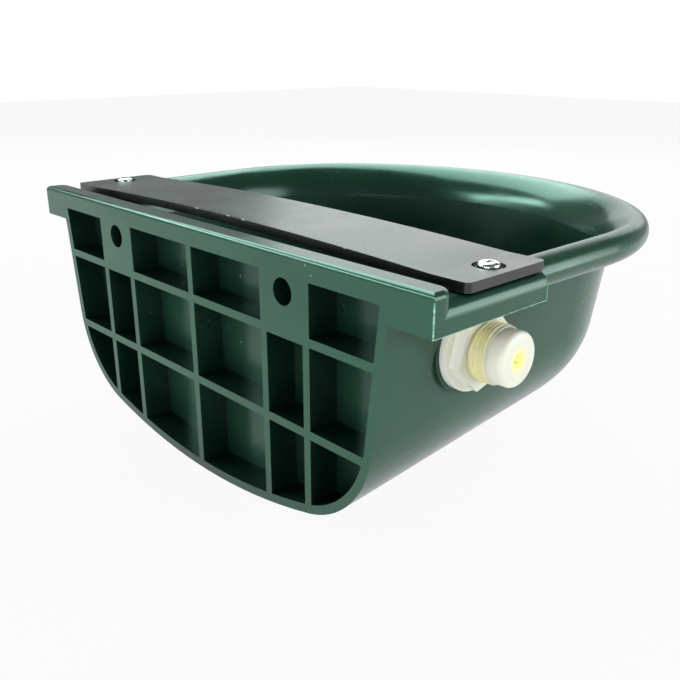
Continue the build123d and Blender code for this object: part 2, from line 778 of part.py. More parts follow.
# ================================================================ float rod and its lock nut
rod_end = float_end + float_washer_thickness + nut_height + rod_tail
with BuildPart() as float_rod:
    with BuildSketch(across_arm.offset(socket_end - rod_grip)):
        Circle(rod_radius)
    extrude(amount=rod_end - socket_end + rod_grip)
finish_part(float_rod.part, "float_rod")


def rod_nut(start, height):
    """Hexagonal nut on the float rod, from start along the arm."""
    with BuildPart() as nut:
        with BuildSketch(across_arm.offset(start)):
            RegularPolygon(nut_flats / 2, 6, major_radius=False)
            Circle(rod_radius + fit_clearance, mode=Mode.SUBTRACT)
        extrude(amount=height)
    return nut.part


with BuildPart() as rod_lock_nut:
    add(rod_nut(socket_end, lock_nut_height))
finish_part(rod_lock_nut.part, "rod_lock_nut")

# ================================================================ float, its washers and nuts
with BuildPart() as float_body:
    with BuildSketch(across_arm.offset(float_start)):
        RectangleRounded(float_width, float_height, float_round)
    extrude(amount=float_length)
    near_end = float_body.faces().filter_by(GeomType.PLANE).group_by(Axis.X)[-1]
    far_end = float_body.faces().filter_by(GeomType.PLANE).group_by(Axis.X)[0]
    fillet(near_end.edges() + far_end.edges(), float_end_round)

hollow = offset(float_body.part, amount=-float_wall)
halving = Plane(
    origin=arm_plane.origin,
    x_dir=arm_plane.x_dir,
    z_dir=(-sin(radians(arm_rest)), 0, cos(radians(arm_rest))),
)


def float_half(direction):
    """Half of the hollow float, above (1) or below (-1) the rod's middle."""
    with BuildPart() as half:
        with BuildSketch(halving):
            Rectangle(4 * float_length, 2 * float_width)
        extrude(amount=direction * float_height)
        add(float_body.part, mode=Mode.INTERSECT)
        add(hollow, mode=Mode.SUBTRACT)
        with BuildSketch(across_arm.offset(float_start)):
            Circle(rod_radius + fit_clearance)
        extrude(amount=float_length, mode=Mode.SUBTRACT)
    return half.part


with BuildPart() as float_upper:
    add(float_half(1))
finish_part(float_upper.part, "float_upper")

with BuildPart() as float_lower:
    add(float_half(-1))
finish_part(float_lower.part, "float_lower")

with BuildPart() as float_washers:
    for start in (float_start - float_washer_thickness, float_end):
        with BuildSketch(across_arm.offset(start)):
            Circle(float_washer_radius)
            Circle(rod_radius + fit_clearance, mode=Mode.SUBTRACT)
        extrude(amount=float_washer_thickness)
finish_part(float_washers.part, "float_washers")

with BuildPart() as float_nuts:
    add(rod_nut(float_start - float_washer_thickness - nut_height, nut_height))
    add(rod_nut(float_end + float_washer_thickness, nut_height))
finish_part(float_nuts.part, "float_nuts")
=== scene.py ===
"""Livestock drinking bowl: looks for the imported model, laid out as a Blender add-on.

Metres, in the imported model's frame: X along the wall, Y away from it, Z up.
"""

import random
from math import cos, hypot, radians, sin

import bpy
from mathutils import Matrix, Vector


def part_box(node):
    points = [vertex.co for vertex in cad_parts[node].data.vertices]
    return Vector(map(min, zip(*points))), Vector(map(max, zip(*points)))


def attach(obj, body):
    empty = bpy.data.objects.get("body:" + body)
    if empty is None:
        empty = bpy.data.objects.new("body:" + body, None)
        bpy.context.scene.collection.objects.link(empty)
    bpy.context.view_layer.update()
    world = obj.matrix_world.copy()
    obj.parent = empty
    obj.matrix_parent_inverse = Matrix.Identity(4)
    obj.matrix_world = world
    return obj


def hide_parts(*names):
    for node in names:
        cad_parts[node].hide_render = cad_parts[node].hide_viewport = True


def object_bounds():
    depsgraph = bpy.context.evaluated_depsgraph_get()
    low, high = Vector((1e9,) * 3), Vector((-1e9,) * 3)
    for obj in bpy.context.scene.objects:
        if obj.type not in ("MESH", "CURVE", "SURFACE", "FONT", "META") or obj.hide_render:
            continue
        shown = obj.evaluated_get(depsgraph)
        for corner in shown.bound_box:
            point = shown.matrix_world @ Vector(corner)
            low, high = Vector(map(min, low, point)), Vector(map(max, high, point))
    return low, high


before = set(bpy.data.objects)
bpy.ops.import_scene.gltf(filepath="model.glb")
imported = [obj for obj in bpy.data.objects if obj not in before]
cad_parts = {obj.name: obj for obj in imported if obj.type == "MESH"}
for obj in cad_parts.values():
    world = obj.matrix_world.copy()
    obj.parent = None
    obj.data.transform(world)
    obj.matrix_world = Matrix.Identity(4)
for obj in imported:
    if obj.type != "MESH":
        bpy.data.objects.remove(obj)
cad_box = [list(corner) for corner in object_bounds()]

bl_info = {
    "name": "Livestock drinking bowl",
    "version": (1, 0, 0),
    "blender": (4, 5, 0),
    "location": "View3D > Sidebar > Drinking bowl",
    "description": "Adds the finishes, threads and stage of a wall-mounted drinking bowl",
    "category": "Add Mesh",
}

MM = 0.001
MERGE_GAP = 0.002 * MM  # points nearer than this become one
SLACK = 0.001 * MM  # reach within which a point counts as lying on a plane
WHITE = (1, 1, 1)
BLACK = (0, 0, 0)
# where the cover's rear edge is torn, from the middle of the bowl
NICK_PLACES = (-21.4 * MM, 6.0 * MM, 18.4 * MM, 90.2 * MM)


# ---------------------------------------------------------------- settings
class BowlStageSettings(bpy.types.PropertyGroup):
    """Camera, floor and lamps."""

    lens: bpy.props.FloatProperty(
        name="Lens", description="Focal length of the camera in millimetres", default=42.41, min=1
    )
    azimuth: bpy.props.FloatProperty(
        name="Azimuth",
        description="Direction of the camera round the bowl",
        default=radians(47.027),
        subtype="ANGLE",
    )
    elevation: bpy.props.FloatProperty(
        name="Elevation",
        description="Height of the camera above level",
        default=radians(20.229),
        subtype="ANGLE",
    )
    distance: bpy.props.FloatProperty(
        name="Distance",
        description="Camera to the point it aims at",
        default=0.45439,
        subtype="DISTANCE",
    )
    aim: bpy.props.FloatVectorProperty(
        name="Aim",
        description="Point the camera looks at",
        default=(0.01838, 0.08437, -0.05784),
        subtype="TRANSLATION",
    )
    floor_drop: bpy.props.FloatProperty(
        name="Floor drop",
        description="Gap between the lowest point of the bowl and the floor",
        default=0.0005,
        subtype="DISTANCE",
    )
    world_strength: bpy.props.FloatProperty(
        name="World light",
        description="Strength of the even light from all round",
        default=0.2,
        min=0,
    )
    floor_colour: bpy.props.FloatVectorProperty(
        name="Floor colour",
        description="Colour of the floor in the lamps' light",
        subtype="COLOR",
        default=(0.9, 0.9, 0.9),
    )


class BowlFinishSettings(bpy.types.PropertyGroup):
    """Colours of the bowl's own pieces."""

    bowl_green: bpy.props.FloatVectorProperty(
        name="Bowl green",
        description="Moulded polypropylene of the bowl",
        subtype="COLOR",
        default=(0.017, 0.071, 0.044),
    )
    cover_black: bpy.props.FloatVectorProperty(
        name="Cover black",
        description="Cover strip",
        subtype="COLOR",
        default=(0.009, 0.009, 0.011),
    )
    nylon_ivory: bpy.props.FloatVectorProperty(
        name="Nylon ivory",
        description="Valve body and lock nut",
        subtype="COLOR",
        default=(0.87, 0.855, 0.775),
    )
    straw_yellow: bpy.props.FloatVectorProperty(
        name="Straw yellow",
        description="Strainer in the inlet",
        subtype="COLOR",
        default=(0.96, 0.88, 0.42),
    )
    acetal_white: bpy.props.FloatVectorProperty(
        name="Acetal white",
        description="Plunger, seal cap and lever",
        subtype="COLOR",
        default=(0.82, 0.82, 0.79),
    )
    float_white: bpy.props.FloatVectorProperty(
        name="Float white",
        description="Two halves of the float",
        subtype="COLOR",
        default=(0.82, 0.83, 0.82),
    )
    rubber_black: bpy.props.FloatVectorProperty(
        name="Rubber black",
        description="Gasket, O-ring and seal disc",
        subtype="COLOR",
        default=(0.02, 0.02, 0.02),
    )
    steel_grey: bpy.props.FloatVectorProperty(
        name="Steel grey",
        description="Pin, clip, rod, washers and nuts",
        subtype="COLOR",
        default=(0.72, 0.72, 0.73),
    )
    zinc_grey: bpy.props.FloatVectorProperty(
        name="Zinc grey",
        description="Cover screws",
        subtype="COLOR",
        default=(0.8, 0.8, 0.8),
    )
    brass_yellow: bpy.props.FloatVectorProperty(
        name="Brass yellow",
        description="Nozzle",
        subtype="COLOR",
        default=(0.75, 0.55, 0.25),
    )


class BowlThreadSettings(bpy.types.PropertyGroup):
    """Pipe thread on the inlet."""

    pitch: bpy.props.FloatProperty(
        name="Pitch",
        description="Length of one turn of the thread",
        default=1.814 * MM,
        subtype="DISTANCE",
        precision=5,
    )
    crest: bpy.props.FloatProperty(
        name="Crest radius",
        description="Outside radius of the thread",
        default=13.22 * MM,
        subtype="DISTANCE",
        precision=5,
    )
    root: bpy.props.FloatProperty(
        name="Root radius",
        description="Radius at the bottom of the thread",
        default=12.06 * MM,
        subtype="DISTANCE",
        precision=5,
    )
    nose_length: bpy.props.FloatProperty(
        name="Nose length",
        description="Plain end of the inlet past the thread",
        default=7.4 * MM,
        subtype="DISTANCE",
        precision=5,
    )


class BowlFlashSettings(bpy.types.PropertyGroup):
    """Moulding flash on the lip, a burr on the ridge and torn nicks on the cover."""

    corner_bead: bpy.props.FloatProperty(
        name="Corner bead",
        description="Radius of the flash up the lip's rear corner",
        default=0.34 * MM,
        subtype="DISTANCE",
        precision=5,
    )
    edge_bead: bpy.props.FloatProperty(
        name="Edge bead",
        description="Radius of the flash along the lip's lower edge and its step",
        default=0.2 * MM,
        subtype="DISTANCE",
        precision=5,
    )
    burr_bead: bpy.props.FloatProperty(
        name="Burr",
        description="Radius of the burr on the ridge",
        default=0.22 * MM,
        subtype="DISTANCE",
        precision=5,
    )
    burr_place: bpy.props.FloatProperty(
        name="Burr place",
        description="Place of the burr along the ridge, from the middle",
        default=88 * MM,
        subtype="DISTANCE",
        precision=5,
    )
    nick_bead: bpy.props.FloatProperty(
        name="Nick",
        description="Radius of each torn nick on the cover",
        default=0.36 * MM,
        subtype="DISTANCE",
        precision=5,
    )
    nick_length: bpy.props.FloatProperty(
        name="Nick length",
        description="Length of each torn nick on the cover",
        default=2.2 * MM,
        subtype="DISTANCE",
        precision=5,
    )
    cover_bow: bpy.props.FloatProperty(
        name="Cover bow",
        description="Rise of the bowed cover's middle over its flat ends",
        default=2.9 * MM,
        subtype="DISTANCE",
        precision=5,
    )
    cover_flat_end: bpy.props.FloatProperty(
        name="Cover's flat end",
        description="Length of each flat end of the cover",
        default=19 * MM,
        subtype="DISTANCE",
        precision=5,
    )


# ---------------------------------------------------------------- helpers
def choose(piece):
    """Select one piece alone and make it the active one."""
    bpy.ops.object.select_all(action="DESELECT")
    piece.select_set(True)
    bpy.context.view_layer.objects.active = piece


def settle(piece):
    """Put a piece's place, turn and size into its mesh."""
    choose(piece)
    bpy.ops.object.transform_apply(location=True, rotation=True, scale=True)


def merged_copy(node, name):
    """Copy of a CAD node with its loose triangles merged, as a piece of its own."""
    piece = bpy.data.objects.new(name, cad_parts[node].data.copy())
    bpy.context.scene.collection.objects.link(piece)
    choose(piece)
    bpy.ops.object.mode_set(mode="EDIT")
    bpy.ops.mesh.select_all(action="SELECT")
    bpy.ops.mesh.remove_doubles(threshold=MERGE_GAP)
    bpy.ops.object.mode_set(mode="OBJECT")
    return piece


def clear_selection():
    """Deselect all of the active piece's mesh."""
    bpy.ops.object.mode_set(mode="EDIT")
    bpy.ops.mesh.select_all(action="DESELECT")
    bpy.ops.object.mode_set(mode="OBJECT")


def delete_selected(kind):
    """Delete the selected faces or edges of the active piece's mesh; kind is FACE or EDGE."""
    bpy.ops.object.mode_set(mode="EDIT")
    bpy.ops.mesh.select_mode(type=kind)
    bpy.ops.mesh.delete(type=kind)
    bpy.ops.mesh.select_mode(type="VERT")
    bpy.ops.object.mode_set(mode="OBJECT")


def select_where(mesh, test):
    """Select the vertices that pass a test of their place, and no others."""
    for polygon in mesh.polygons:
        polygon.select = False
    for edge in mesh.edges:
        edge.select = False
    for vertex in mesh.vertices:
        vertex.select = test(vertex.co)


def new_material(name, roughness, metallic=0.0):
    """Node material with a Principled shader; returns the material, nodes, links and shader."""
    material = bpy.data.materials.new(name)
    material.use_nodes = True
    nodes = material.node_tree.nodes
    shader = nodes["Principled BSDF"]
    shader.inputs["Roughness"].default_value = roughness
    shader.inputs["Metallic"].default_value = metallic
    return material, nodes, material.node_tree.links, shader


def noise(nodes, links, scale, detail=4.0, distortion=0.0, stretch=(1, 1, 1)):
    """Noise texture on object coordinates; returns its value socket."""
    coordinates = nodes.new("ShaderNodeTexCoord")
    mapping = nodes.new("ShaderNodeMapping")
    mapping.inputs["Scale"].default_value = stretch
    texture = nodes.new("ShaderNodeTexNoise")
    texture.inputs["Scale"].default_value = scale
    texture.inputs["Detail"].default_value = detail
    texture.inputs["Distortion"].default_value = distortion
    links.new(coordinates.outputs["Object"], mapping.inputs["Vector"])
    links.new(mapping.outputs["Vector"], texture.inputs["Vector"])
    return texture.outputs["Fac"]


def ramp(nodes, links, value, stops):
    """Colour ramp over a value; stops are (place, colour)."""
    node = nodes.new("ShaderNodeValToRGB")
    elements = node.color_ramp.elements
    while len(elements) < len(stops):
        elements.new(0.5)
    for element, (place, colour) in zip(elements, stops):
        element.position = place
        element.color = (*colour, 1)
    links.new(value, node.inputs["Fac"])
    return node.outputs["Color"]


def remap(nodes, links, value, low, high, from_low=0.3, from_high=0.7):
    """Value moved from one range to another: low at from_low, high at from_high."""
    node = nodes.new("ShaderNodeMapRange")
    node.inputs["From Min"].default_value = from_low
    node.inputs["From Max"].default_value = from_high
    node.inputs["To Min"].default_value = low
    node.inputs["To Max"].default_value = high
    links.new(value, node.inputs["Value"])
    return node.outputs["Result"]


def bump(nodes, links, shader, height, strength, distance):
    """Bump from a height socket into the shader's normal."""
    node = nodes.new("ShaderNodeBump")
    node.inputs["Strength"].default_value = strength
    node.inputs["Distance"].default_value = distance
    links.new(height, node.inputs["Height"])
    links.new(node.outputs["Normal"], shader.inputs["Normal"])


def blend(nodes, links, share, first, second):
    """Colour from the first socket or colour to the second colour, by a share from 0 to 1."""
    node = nodes.new("ShaderNodeMix")
    node.data_type = "RGBA"
    if isinstance(first, bpy.types.NodeSocket):
        links.new(first, node.inputs["A"])
    else:
        node.inputs["A"].default_value = (*first, 1)
    node.inputs["B"].default_value = (*second, 1)
    links.new(share, node.inputs["Factor"])
    return node.outputs["Result"]


def let_light_in(shader, weight, reach, scale):
    """Subsurface light: its weight, its reach for red, green and blue, and its scale."""
    shader.inputs["Subsurface Weight"].default_value = weight
    shader.inputs["Subsurface Radius"].default_value = reach
    shader.inputs["Subsurface Scale"].default_value = scale


def shade(colour, factor):
    """A colour made lighter or darker."""
    return tuple(min(1.0, channel * factor) for channel in colour)


# ---------------------------------------------------------------- materials
def green_polypropylene(settings):
    """Glossy moulded green plastic with flow marks, fine scuffs, a few pale specks and painted
    shade in its recesses.
    """
    material, nodes, links, shader = new_material("green_polypropylene", 0.3)
    base = settings.bowl_green
    flow = noise(nodes, links, scale=9, detail=5, distortion=0.6, stretch=(1, 1, 2.5))
    body = ramp(nodes, links, flow, [(0.3, shade(base, 0.85)), (0.7, shade(base, 1.15))])
    fine = noise(nodes, links, scale=420, detail=1)
    speck_share = ramp(nodes, links, fine, [(0.79, BLACK), (0.81, WHITE)])
    specked = blend(nodes, links, speck_share, body, (0.25, 0.42, 0.34))
    # painted shade: the base colour darkens in the bowl's depths and corners
    links.new(painted_recess_shade(nodes, links, specked, base), shader.inputs["Base Color"])
    scuffs = noise(nodes, links, scale=40, detail=6)
    links.new(remap(nodes, links, scuffs, 0.17, 0.27), shader.inputs["Roughness"])
    shader.inputs["Specular Tint"].default_value = (0.7, 1, 0.9, 1)
    ripple = noise(nodes, links, scale=14, detail=3)
    bump(nodes, links, shader, ripple, strength=0.2, distance=0.5 * MM)
    return material


def painted_recess_shade(nodes, links, colour, base):
    """Painted shade: colour that darkens to near black deep in the bowl and in its corners, where
    an ambient occlusion node finds the surface closed in.
    """
    recess = nodes.new("ShaderNodeAmbientOcclusion")
    recess.samples = 6
    recess.inputs["Distance"].default_value = 50 * MM
    # share of painted shade, largest where the occlusion finds the surface most closed in
    painted_shade_share = remap(nodes, links, recess.outputs["AO"], 0.9, 0.0, from_low=0.3, from_high=0.85)
    return blend(nodes, links, painted_shade_share, colour, shade(base, 0.06))


def black_polypropylene(settings):
    """Satin black strip, faintly mottled, with scuffed spots."""
    material, nodes, links, shader = new_material("black_polypropylene", 0.34)
    base = settings.cover_black
    mottle = noise(nodes, links, scale=26, detail=6, distortion=0.4)
    body = ramp(nodes, links, mottle, [(0.35, base), (0.75, shade(base, 1.8))])
    links.new(body, shader.inputs["Base Color"])
    links.new(remap(nodes, links, mottle, 0.2, 0.34), shader.inputs["Roughness"])
    shader.inputs["Specular IOR Level"].default_value = 0.6
    grain = noise(nodes, links, scale=300, detail=4)
    bump(nodes, links, shader, grain, strength=0.2, distance=0.15 * MM)
    return material


def moulded_nylon(name, settings, yellowing):
    """Slightly translucent nylon; yellowing gives the share of a yellow tint."""
    material, nodes, links, shader = new_material(name, 0.34)
    base = settings.nylon_ivory
    yellow = (base[0], base[1] * 0.93, base[2] * 0.5)
    tinted = blend(nodes, links, yellowing(nodes, links), base, yellow)
    links.new(tinted, shader.inputs["Base Color"])
    let_light_in(shader, weight=0.5, reach=(1, 0.8, 0.45), scale=6 * MM)
    grain = noise(nodes, links, scale=300, detail=2)
    bump(nodes, links, shader, grain, strength=0.15, distance=0.2 * MM)
    return material


def ivory_nylon(settings):
    """Nylon of the lock nut, with faint yellow patches."""

    def patches(nodes, links):
        """Share of yellow in soft patches."""
        return remap(nodes, links, noise(nodes, links, scale=45, detail=3), 0.0, 0.3)

    return moulded_nylon("ivory_nylon", settings, patches)


def thread_nylon(settings, start, end):
    """Nylon of the valve body, yellow between two places along X, where the thread is."""

    def thread_stretch(nodes, links):
        """Share of yellow, strong along the thread and faint past its ends."""
        coordinates = nodes.new("ShaderNodeTexCoord")
        places = nodes.new("ShaderNodeSeparateXYZ")
        links.new(coordinates.outputs["Object"], places.inputs["Vector"])
        along = remap(nodes, links, places.outputs["X"], 0.0, 1.0, from_low=start, from_high=end)
        faint, strong = (0.05, 0.05, 0.05), (0.9, 0.9, 0.9)
        stops = [(0.0, faint), (0.08, strong), (0.72, strong), (1.0, faint)]
        return ramp(nodes, links, along, stops)

    return moulded_nylon("thread_nylon", settings, thread_stretch)


def flash_painted_light():
    """Thin torn edge of the green plastic with some subsurface light through it; its pale greens
    are painted highlight and painted light through the thin plastic.
    """
    material, nodes, links, shader = new_material("flash_painted_light", 0.35)
    dim_painted_green, bright_painted_green = (0.12, 0.36, 0.24), (0.38, 0.68, 0.52)
    grain = noise(nodes, links, scale=700, detail=2)
    # painted light: both greens are far paler than the bowl's own green, patchy by noise
    body = ramp(nodes, links, grain, [(0.35, dim_painted_green), (0.65, bright_painted_green)])
    links.new(body, shader.inputs["Base Color"])
    let_light_in(shader, weight=0.3, reach=(0.5, 1, 0.7), scale=2 * MM)
    return material


def bright_metal(name, colour, roughness=0.22):
    """Plated steel, stainless steel or brass with fine wear."""
    material, nodes, links, shader = new_material(name, roughness, metallic=1.0)
    wear = noise(nodes, links, scale=500, detail=4)
    body = ramp(nodes, links, wear, [(0.3, shade(colour, 0.8)), (0.7, colour)])
    links.new(body, shader.inputs["Base Color"])
    dulled = remap(nodes, links, wear, roughness, roughness + 0.15)
    links.new(dulled, shader.inputs["Roughness"])
    return material


def plain_plastic(name, colour, roughness=0.4, grain_scale=250):
    """Moulded plastic or rubber with a faint grain."""
    material, nodes, links, shader = new_material(name, roughness)
    grain = noise(nodes, links, scale=grain_scale, detail=3)
    body = ramp(nodes, links, grain, [(0.3, shade(colour, 0.88)), (0.7, colour)])
    links.new(body, shader.inputs["Base Color"])
    bump(nodes, links, shader, grain, strength=0.2, distance=0.2 * MM)
    return material


def straw_nylon(settings):
    """Thin yellow nylon of the strainer; a faint glow stands for light through the inlet's wall."""
    material = plain_plastic("straw_nylon", settings.straw_yellow)
    shader = material.node_tree.nodes["Principled BSDF"]
    let_light_in(shader, weight=0.8, reach=(1, 0.85, 0.3), scale=6 * MM)
    shader.inputs["Emission Color"].default_value = (1, 0.9, 0.4, 1)
    shader.inputs["Emission Strength"].default_value = 0.35
    return material


def dress(node, material):
    """Give a CAD node its finish."""
    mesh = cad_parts[node].data
    mesh.materials.clear()
    mesh.materials.append(material)


# ---------------------------------------------------------------- operators
class BOWL_OT_inlet(bpy.types.Operator):
    """Cut the pipe thread on the inlet, from the nut to the plain nose."""

    bl_idname = "bowl.inlet"
    bl_label = "Threaded inlet"

    def execute(self, context):
        settings = context.scene.bowl_thread
        low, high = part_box("inlet_strainer")
        self.axis_y = (low.y + high.y) / 2
        self.axis_z = (low.z + high.z) / 2
        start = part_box("lock_nut")[1].x
        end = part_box("valve_body")[1].x - settings.nose_length
        run_under_nut = 0.5 * MM
        yellow_margin = 1.0 * MM
        body = merged_copy("valve_body", "threaded_inlet")
        self.clear_plain_stretch(body, start, end, settings.root)
        thread = self.thread(start - run_under_nut, end, settings)
        choose(thread)
        body.select_set(True)
        context.view_layer.objects.active = body
        bpy.ops.object.join()
        bpy.ops.object.shade_smooth_by_angle(angle=radians(32))
        body.data.materials.clear()
        finish = thread_nylon(
            context.scene.bowl_finish, start - yellow_margin, end + yellow_margin
        )
        body.data.materials.append(finish)
        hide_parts("valve_body")
        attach(body, "bowl")
        return {"FINISHED"}

    def radius(self, place):
        """Distance from the inlet's axis."""
        return hypot(place.y - self.axis_y, place.z - self.axis_z)

    def set_radius(self, place, radius):
        """Move a point straight out from the inlet's axis, or in, to this radius."""
        out = self.radius(place)
        place.y = self.axis_y + (place.y - self.axis_y) * radius / out
        place.z = self.axis_z + (place.z - self.axis_z) * radius / out

    def clear_plain_stretch(self, body, start, end, root):
        """Take away the plain cylinder where the thread goes; the bore stays."""
        wall_middle = root - 0.3 * MM
        past_face = 0.1 * MM
        clear_selection()
        for polygon in body.data.polygons:
            outside = all(
                self.radius(body.data.vertices[index].co) > wall_middle
                for index in polygon.vertices
            )
            along = start + past_face < polygon.center.x < end + past_face
            polygon.select = outside and along
        delete_selected("FACE")

    def thread(self, start, end, settings):
        """Helical thread between two places, closed inside the spigot's wall."""
        piece = self.turns(start, end, settings)
        self.cut_to_length(start, end)
        self.chamfer(piece, end, settings)
        self.close(piece, start, end, settings.root - 0.4 * MM)
        return piece

    def turns(self, start, end, settings):
        """Thread profile swept round the axis, longer than the thread at both ends."""
        pitch, crest, root = settings.pitch, settings.crest, settings.root
        spare_turns = 3
        turns_before_start = 1.5
        # share of the pitch, radius
        profile = [(0, root), (0.12, root), (0.42, crest), (0.58, crest), (0.88, root), (1, root)]
        piece = self.open_row(len(profile))
        for vertex, (along, out) in zip(piece.data.vertices, profile):
            vertex.co = (along * pitch, 0, out)
        screw = piece.modifiers.new("turns", "SCREW")
        screw.axis = "X"
        screw.angle = radians(360)
        screw.screw_offset = pitch
        screw.iterations = int((end - start) / pitch) + spare_turns
        screw.steps = 72
        screw.render_steps = 72
        bpy.ops.object.modifier_apply(modifier="turns")
        shift = Vector((start - turns_before_start * pitch, self.axis_y, self.axis_z))
        for vertex in piece.data.vertices:
            vertex.co += shift
        return piece

    def open_row(self, points):
        """Circle of this many points with its last edge taken out, which leaves an open row."""
        bpy.ops.object.select_all(action="DESELECT")
        bpy.ops.mesh.primitive_circle_add(vertices=points, fill_type="NOTHING")
        row = bpy.context.object
        row.name = "inlet_thread"
        clear_selection()
        ends = {0, points - 1}
        for edge in row.data.edges:
            edge.select = set(edge.vertices) == ends
        delete_selected("EDGE")
        return row

    def cut_to_length(self, start, end):
        """Join the turns and cut the thread square at both ends."""
        bpy.ops.object.mode_set(mode="EDIT")
        bpy.ops.mesh.select_all(action="SELECT")
        bpy.ops.mesh.remove_doubles(threshold=MERGE_GAP)
        for place, outer in ((start, False), (end, True)):
            bpy.ops.mesh.select_all(action="SELECT")
            bpy.ops.mesh.bisect(
                plane_co=(place, self.axis_y, self.axis_z),
                plane_no=(1, 0, 0),
                clear_inner=not outer,
                clear_outer=outer,
            )
        bpy.ops.object.mode_set(mode="OBJECT")

    def chamfer(self, piece, end, settings):
        """Bevel the thread's outer end at 45 degrees, nearly down to its root."""
        reach = settings.crest - settings.root
        end_radius = settings.root + 0.1 * MM
        for vertex in piece.data.vertices:
            most = end_radius + max(0, end - vertex.co.x)
            if end - vertex.co.x < reach and self.radius(vertex.co) > most:
                self.set_radius(vertex.co, most)

    def close(self, piece, start, end, inside):
        """Carry both cut ends in to the radius inside the wall and join them there."""
        select_where(piece.data, lambda co: co.x < start + SLACK or co.x > end - SLACK)
        bpy.ops.object.mode_set(mode="EDIT")
        bpy.ops.mesh.extrude_region_move()
        bpy.ops.object.mode_set(mode="OBJECT")
        for vertex in piece.data.vertices:
            if vertex.select:
                self.set_radius(vertex.co, inside)
        bpy.ops.object.mode_set(mode="EDIT")
        bpy.ops.mesh.bridge_edge_loops()
        bpy.ops.mesh.select_all(action="SELECT")
        bpy.ops.mesh.normals_make_consistent(inside=False)
        bpy.ops.object.mode_set(mode="OBJECT")


class BOWL_OT_flash(bpy.types.Operator):
    """Leave moulding flash on the lip's edges, a burr on the ridge and nicks on the cover."""

    bl_idname = "bowl.flash"
    bl_label = "Moulding flash"

    def execute(self, context):
        settings = context.scene.bowl_flash
        # the flash and the burr carry painted highlight in this pale green finish
        finish = flash_painted_light()
        for seed, (name, start, end, size, cuts) in enumerate(self.runs(settings)):
            bead = self.bead(name, Vector(start), Vector(end), size, cuts, seed)
            bead.data.materials.append(finish)
            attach(bead, "bowl")
        self.nicks(settings)
        return {"FINISHED"}

    def runs(self, settings):
        """Each run of flash on the bowl: its name, start, end, radius and number of cuts."""
        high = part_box("bowl")[1]
        side = high.x
        points = [vertex.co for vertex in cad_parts["bowl"].data.vertices]
        side_points = [point for point in points if point.x > side - SLACK]
        lip_bottom = min(point.z for point in side_points)
        step = max(point.y for point in side_points)
        corner_top = high.z - 3 * MM
        step_top = high.z - 9 * MM
        burr = settings.burr_place
        burr_bottom = high.z - 3.4 * MM
        burr_top = high.z - 2.2 * MM
        corner_bead = settings.corner_bead
        edge_bead = settings.edge_bead
        return (
            ("flash_corner", (side, 0, lip_bottom), (side, 0, corner_top), corner_bead, 34),
            ("flash_lower_side", (side, 0, lip_bottom), (side, step, lip_bottom), edge_bead, 40),
            ("flash_step", (side, step, lip_bottom), (side, step, step_top), edge_bead, 16),
            ("ridge_burr", (burr, 0, burr_bottom), (burr, 0, burr_top), settings.burr_bead, 3),
        )

    def cover_edge(self, along, settings):
        """Place on the bowed rear top edge of the cover, this far along it."""
        low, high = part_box("cover_plate")
        half_bow = high.x - settings.cover_flat_end
        return Vector((along, low.y, high.z - settings.cover_bow * (along / half_bow) ** 2))

    def nicks(self, settings):
        """Small torn nicks along the cover's rear edge, as one piece."""
        half_nick = settings.nick_length / 2
        first_seed = 7
        pieces = []
        for seed, place in enumerate(NICK_PLACES, first_seed):
            start = self.cover_edge(place - half_nick, settings)
            end = self.cover_edge(place + half_nick, settings)
            pieces.append(self.bead("cover_nicks", start, end, settings.nick_bead, 4, seed))
        choose(pieces[0])
        for piece in pieces[1:]:
            piece.select_set(True)
        bpy.ops.object.join()
        nicks = bpy.context.object
        nicks.name = "cover_nicks"
        nicks.data.materials.append(plain_plastic("torn_plastic", (0.5, 0.49, 0.48), 0.5))
        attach(nicks, "bowl")

    def bead(self, name, start, end, size, cuts, seed):
        """Bead of about this radius from start to end, of uneven thickness."""
        line = end - start
        bpy.ops.object.select_all(action="DESELECT")
        bpy.ops.mesh.primitive_cylinder_add(
            vertices=8,
            radius=size,
            depth=line.length,
            location=(start + end) / 2,
            rotation=line.to_track_quat("Z", "Y").to_euler(),
        )
        piece = bpy.context.object
        piece.name = name
        settle(piece)
        clear_selection()
        along = line.normalized()
        for edge in piece.data.edges:
            ends = [piece.data.vertices[index].co for index in edge.vertices]
            edge.select = abs((ends[1] - ends[0]).dot(along)) > line.length / 2
        bpy.ops.object.mode_set(mode="EDIT")
        bpy.ops.mesh.subdivide(number_cuts=cuts)
        bpy.ops.object.mode_set(mode="OBJECT")
        self.make_uneven(piece, start, line, cuts + 1, seed)
        choose(piece)
        bpy.ops.object.shade_smooth_by_angle(angle=radians(60))
        return piece

    def make_uneven(self, piece, start, line, parts, seed):
        """Give each ring of points round a bead a thickness of its own."""
        thinnest, thickest = 0.35, 1.25
        uneven = random.Random(seed)
        along = line.normalized()
        sizes = {}
        for vertex in piece.data.vertices:
            reach = (vertex.co - start).dot(along)
            ring = round(reach / line.length * parts)
            if ring not in sizes:
                sizes[ring] = uneven.uniform(thinnest, thickest)
            middle = start + along * reach
            vertex.co = middle + (vertex.co - middle) * sizes[ring]


